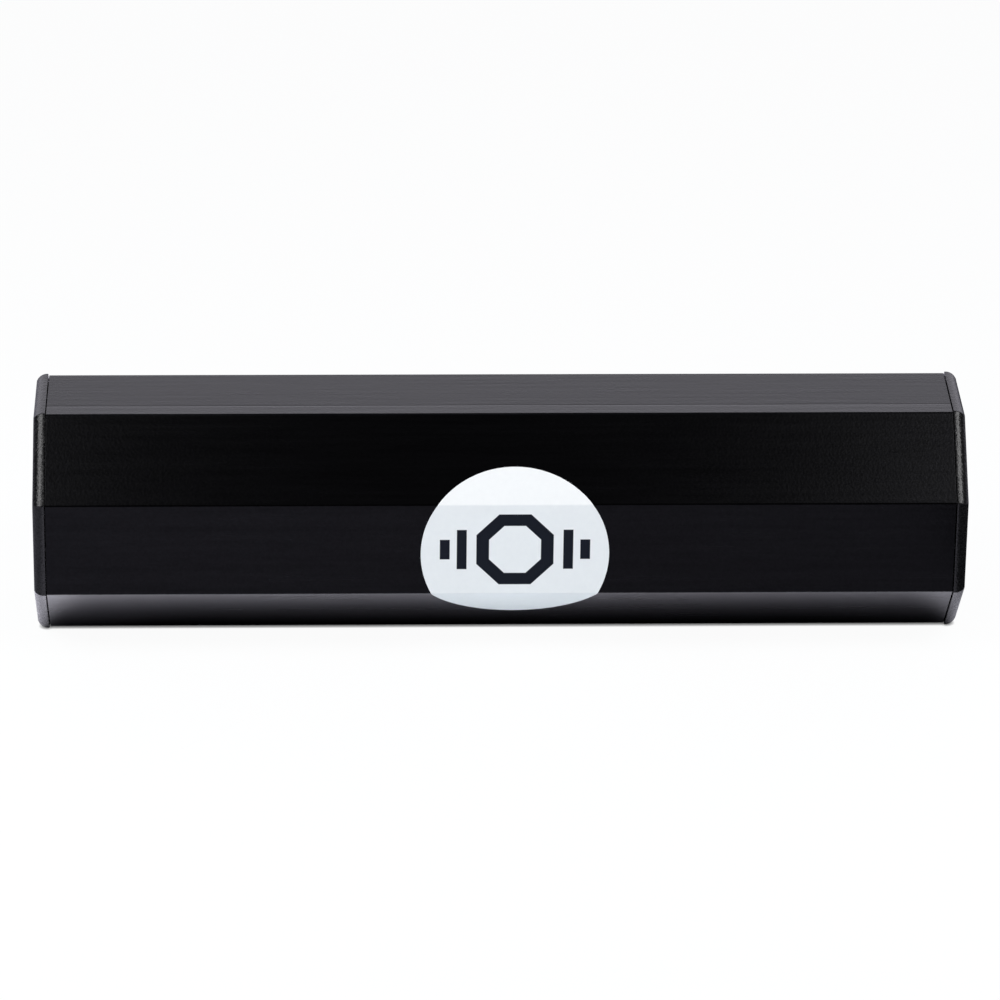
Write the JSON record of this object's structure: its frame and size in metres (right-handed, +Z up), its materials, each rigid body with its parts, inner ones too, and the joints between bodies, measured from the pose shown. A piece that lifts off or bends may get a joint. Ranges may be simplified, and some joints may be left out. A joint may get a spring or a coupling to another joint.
{
  "type": "percussion shaker",
  "caption": "Octagonal aluminium tube shaker, closed at each end by a moulded press-in cap and part filled with loose steel shot that runs and leaps inside when it is shaken.",
  "frame": {"origin": "on the surface that the shaker lies on, under the middle of the tube", "axes": "+X along the tube, towards the right-hand cap; +Z up; -Y towards the flat that carries the label"},
  "size_m": [0.1982, 0.0506, 0.0506],
  "materials": {
    "black_anodised_aluminium": "black anodised, satin, with fine drawing lines along the tube",
    "black_cap_plastic": "black, spark-eroded mould grain",
    "white_label_film": "white film, satin",
    "shot_steel": "plain steel, tumbled"
  },
  "bodies": {
    "shell": {"tube_body": "black_anodised_aluminium", "left_end_cap": "black_cap_plastic", "right_end_cap": "black_cap_plastic", "round_label": "white_label_film"},
    "row_1": {"shot_row_1": "shot_steel"},
    "tossed_1": {"tossed_shot_1": "shot_steel"},
    "row_2": {"shot_row_2": "shot_steel"},
    "tossed_2": {"tossed_shot_2": "shot_steel"},
    "row_3": {"shot_row_3": "shot_steel"},
    "tossed_3": {"tossed_shot_3": "shot_steel"},
    "row_4": {"shot_row_4": "shot_steel"},
    "tossed_4": {"tossed_shot_4": "shot_steel"},
    "row_5": {"shot_row_5": "shot_steel"},
    "tossed_5": {"tossed_shot_5": "shot_steel"}
  },
  "joints": [
    {"name": "row_1_run", "type": "slide", "parent": "shell", "child": "row_1", "axis": [1, 0, 0], "range_m": [-0.0232, 0.0542]},
    {"name": "row_1_toss", "type": "slide", "parent": "row_1", "child": "tossed_1", "axis": [0, 0, 1], "range_m": [0, 0.0427]},
    {"name": "row_2_run", "type": "slide", "parent": "shell", "child": "row_2", "axis": [1, 0, 0], "range_m": [-0.0558, 0.0217]},
    {"name": "row_2_toss", "type": "slide", "parent": "row_2", "child": "tossed_2", "axis": [0, 0, 1], "range_m": [0, 0.0427]},
    {"name": "row_3_run", "type": "slide", "parent": "shell", "child": "row_3", "axis": [1, 0, 0], "range_m": [-0.0077, 0.0697]},
    {"name": "row_3_toss", "type": "slide", "parent": "row_3", "child": "tossed_3", "axis": [0, 0, 1], "range_m": [0, 0.0427]},
    {"name": "row_4_run", "type": "slide", "parent": "shell", "child": "row_4", "axis": [1, 0, 0], "range_m": [-0.0426, 0.0348]},
    {"name": "row_4_toss", "type": "slide", "parent": "row_4", "child": "tossed_4", "axis": [0, 0, 1], "range_m": [0, 0.0427]},
    {"name": "row_5_run", "type": "slide", "parent": "shell", "child": "row_5", "axis": [1, 0, 0], "range_m": [-0.0666, 0.0108]},
    {"name": "row_5_toss", "type": "slide", "parent": "row_5", "child": "tossed_5", "axis": [0, 0, 1], "range_m": [0, 0.0427]}
  ]
}
